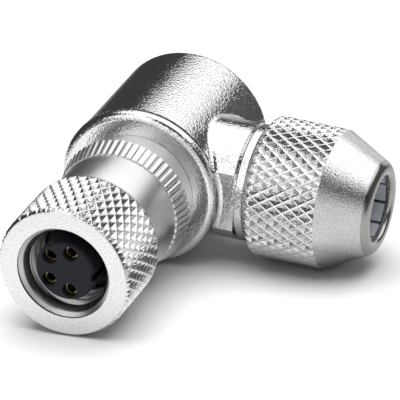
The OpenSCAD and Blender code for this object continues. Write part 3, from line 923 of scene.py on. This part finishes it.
def table_finish():
    """White paper that fades out, with painted shade in what the metal mirrors of it under the gland and
    beside its cone.
    """
    paper_colour, dark_colour = (0.92, 0.92, 0.92), (0.06, 0.06, 0.06)
    cone_from, cone_full, cone_dark = 13.0, 20.0, 0.4
    gland_foot, foot_near, foot_far, foot_dark = (13.5, 17.5, -6.0), 5.5, 9.5, 0.5
    fade_from, fade_full = 30.0, 75.0
    made = bpy.data.materials.new("white_table")
    made.use_nodes = True
    nodes = Nodes(made.node_tree)
    made.node_tree.nodes.remove(made.node_tree.nodes["Principled BSDF"])
    out = made.node_tree.nodes["Material Output"]
    where = nodes.new("ShaderNodeTexCoord").outputs["Object"]
    is_mirrored = nodes.new("ShaderNodeLightPath").outputs["Is Glossy Ray"]
    beside_cone = nodes.span(nodes.separate(where)["X"], cone_from * MM, cone_full * MM)
    from_gland = nodes.measure("DISTANCE", where, Vector(gland_foot) * MM)
    under_gland = nodes.span(from_gland, foot_near * MM, foot_far * MM, foot_dark, 0.0)
    # Painted shade: only in reflections, the table is darker under the gland and beside the cone.
    darker = nodes.math("MAXIMUM", nodes.math("MULTIPLY", beside_cone, cone_dark), under_gland)
    dimmed = nodes.math("MULTIPLY", darker, is_mirrored)
    tone = mixed_colour(nodes, dimmed, paper_colour, dark_colour)
    paper = nodes.new("ShaderNodeBsdfDiffuse", {"Color": tone})
    clear = nodes.new("ShaderNodeBsdfTransparent")
    away = nodes.measure("DISTANCE", where, Vector(STAGE_CENTRE) * MM)
    fade = nodes.span(away, fade_from * MM, fade_full * MM)
    surface = nodes.new("ShaderNodeMixShader", {0: fade, 1: paper.outputs[0], 2: clear.outputs[0]})
    nodes.feed(out.inputs["Surface"], surface.outputs[0])
    return made


def studio():
    """White for the camera, bright patches for the metal's reflections, plain light for the rest."""
    shade_level, plain_level = 0.055, 0.12
    world = bpy.data.worlds.new("studio")
    bpy.context.scene.world = world
    world.use_nodes = True
    nodes = Nodes(world.node_tree)
    background = world.node_tree.nodes["Background"]
    way = nodes.new("ShaderNodeTexCoord").outputs["Generated"]

    def glow(towards, low, high, level):
        """Soft patch of the studio round a direction, between two cosines of the angle from it."""
        facing = nodes.measure("DOT_PRODUCT", way, Vector(towards).normalized())
        patch = nodes.span(facing, low, high, 0.0, level)
        patch.node.interpolation_type = "SMOOTHSTEP"
        return patch

    overhead = glow((0.05, 0.30, 0.95), 0.64, 0.74, 1.4)
    backdrop = glow((0.06, 1.0, 0.07), 0.91, 0.98, 0.7)
    low_front = glow((0.25, -0.9, -0.35), 0.40, 0.85, 0.72)
    left_front = glow((-0.2, -0.75, 0.65), 0.72, 0.90, 1.3)
    right_side = glow((0.85, 0.5, 0.2), 0.70, 0.95, 0.06)
    dark_gap = glow((0.22, -0.50, 0.84), 0.90, 0.955, 0.95)
    right_front = glow((0.55, -0.15, 0.82), 0.93, 0.99, 0.9)
    tent = nodes.math("MAXIMUM", nodes.math("MAXIMUM", low_front, left_front), right_front)
    behind = nodes.math("MAXIMUM", backdrop, right_side)
    brightest = nodes.math("MAXIMUM", nodes.math("MAXIMUM", overhead, behind), tent)
    open_part = nodes.math("SUBTRACT", 1.0, dark_gap)
    mirror = nodes.math("MULTIPLY_ADD", brightest, open_part, shade_level)
    path = nodes.new("ShaderNodeLightPath").outputs
    seen = nodes.math("MULTIPLY_ADD", path["Is Camera Ray"], 1.0 - plain_level, plain_level)
    glossy = path["Is Glossy Ray"]
    stay = nodes.math("MULTIPLY", seen, nodes.math("SUBTRACT", 1.0, glossy))
    strength = nodes.math("MULTIPLY_ADD", mirror, glossy, stay)
    nodes.feed(background.inputs["Strength"], strength)
    background.inputs["Color"].default_value = (1, 1, 1, 1)


def lamp(name, spot, aim, size, power):
    """Round soft lamp that the metal doesn't mirror."""
    light = bpy.data.lights.new(name, "AREA")
    light.shape = "DISK"
    light.size = size * MM
    light.energy = power
    holder = placed(name, light)
    holder.location = Vector(spot) * MM
    holder.visible_glossy = False
    holder.rotation_mode = "QUATERNION"
    holder.rotation_quaternion = (Vector(aim) - Vector(spot)).to_track_quat("-Z", "Y")


def camera():
    """Camera of the photograph, from a fit on the round edges."""
    right = Vector((0.92939, 0.36813, 0.02668))
    up = Vector((-0.19743, 0.43474, 0.87865))
    back = right.cross(up)
    stand = Vector((126.584, -302.463, 184.973))
    data = bpy.data.cameras.new("photo_camera")
    data.sensor_width = 36
    data.lens = 413.3
    data.clip_start, data.clip_end = 0.01, 10
    holder = placed("photo_camera", data)
    turn = Matrix((right, up, back)).transposed().to_4x4()
    holder.matrix_world = Matrix.Translation(stand * MM) @ turn
    bpy.context.scene.camera = holder


camera()
bpy.context.scene.view_settings.view_transform = "Standard"

GRAIN = grain_group()
TOOL_MARKS = tool_mark_group()
CUT_DEPTH = depth_group()
KNURL = knurl_tree()
RIBS = rib_tree()
THREAD = thread_tree()

CAST = cast_nickel()
TURNED = turned_nickel("turned_nickel", (0.67, 0.675, 0.68), (0.82, 0.825, 0.83))
# Painted shade: the thread and the mouth of the coupling nut are coloured darker than the turned nickel.
SHADED_THREAD = turned_nickel("shaded_thread_nickel", (0.44, 0.442, 0.44), (0.56, 0.563, 0.56))
SATIN = satin_nickel()
POLISHED = polished_nickel()
KNURLED_FRONT = knurled_nickel("knurled_nickel_front", (1, 0, 1), (0, 0, 0),
                               NUT_TIP_R - NUT_KNURL_DEPTH, NUT_TIP_R)
KNURLED_SIDE = knurled_nickel("knurled_nickel_side", (0, 1, 1), (0, CROSSING * MM, 0),
                              GLAND_TIP_R - GLAND_KNURL_DEPTH, GLAND_TIP_R)
KEEPER_STEEL = dull_finish("keeper_steel", (0.50, 0.50, 0.49), (0.62, 0.62, 0.60),
                           rough=0.35, pit_scale=8000.0, depth=0.01, metallic=1.0)
GOLD = dull_finish("gold_contact", (0.40, 0.30, 0.13), (0.62, 0.48, 0.22),
                   rough=0.30, pit_scale=9000.0, depth=0.01, metallic=1.0)
CARRIER = dull_finish("carrier_plastic", (0.010, 0.011, 0.016), (0.020, 0.021, 0.029),
                      rough=0.5, pit_scale=7000.0, depth=0.02, shine=0.2)
BLACK_RUBBER = dull_finish("black_rubber", (0.014, 0.014, 0.015), (0.026, 0.026, 0.027),
                           rough=0.6, pit_scale=6000.0, depth=0.02)
GREY_RUBBER = dull_finish("grey_rubber", (0.08, 0.08, 0.08), (0.12, 0.12, 0.12),
                          rough=0.6, pit_scale=6000.0, depth=0.02)
LINER = dull_finish("liner_plastic", (0.70, 0.69, 0.65), (0.80, 0.79, 0.75),
                    rough=0.45, pit_scale=5000.0, depth=0.02)
RING_PLASTIC = dull_finish("ring_plastic", (0.26, 0.26, 0.28), (0.34, 0.34, 0.36),
                           rough=0.4, pit_scale=6000.0, depth=0.02)
CAGE = dull_finish("cage_plastic", (0.56, 0.59, 0.64), (0.68, 0.71, 0.76),
                   rough=0.38, pit_scale=6000.0, depth=0.02)

coupling_nut()
screw_collar()
gland_nut()
branch_fillet()
finish_cad_nodes()
floor()
studio()
lamp("soft_overhead", (-30.0, 60.0, 420.0), STAGE_CENTRE, size=660.0, power=3.5)
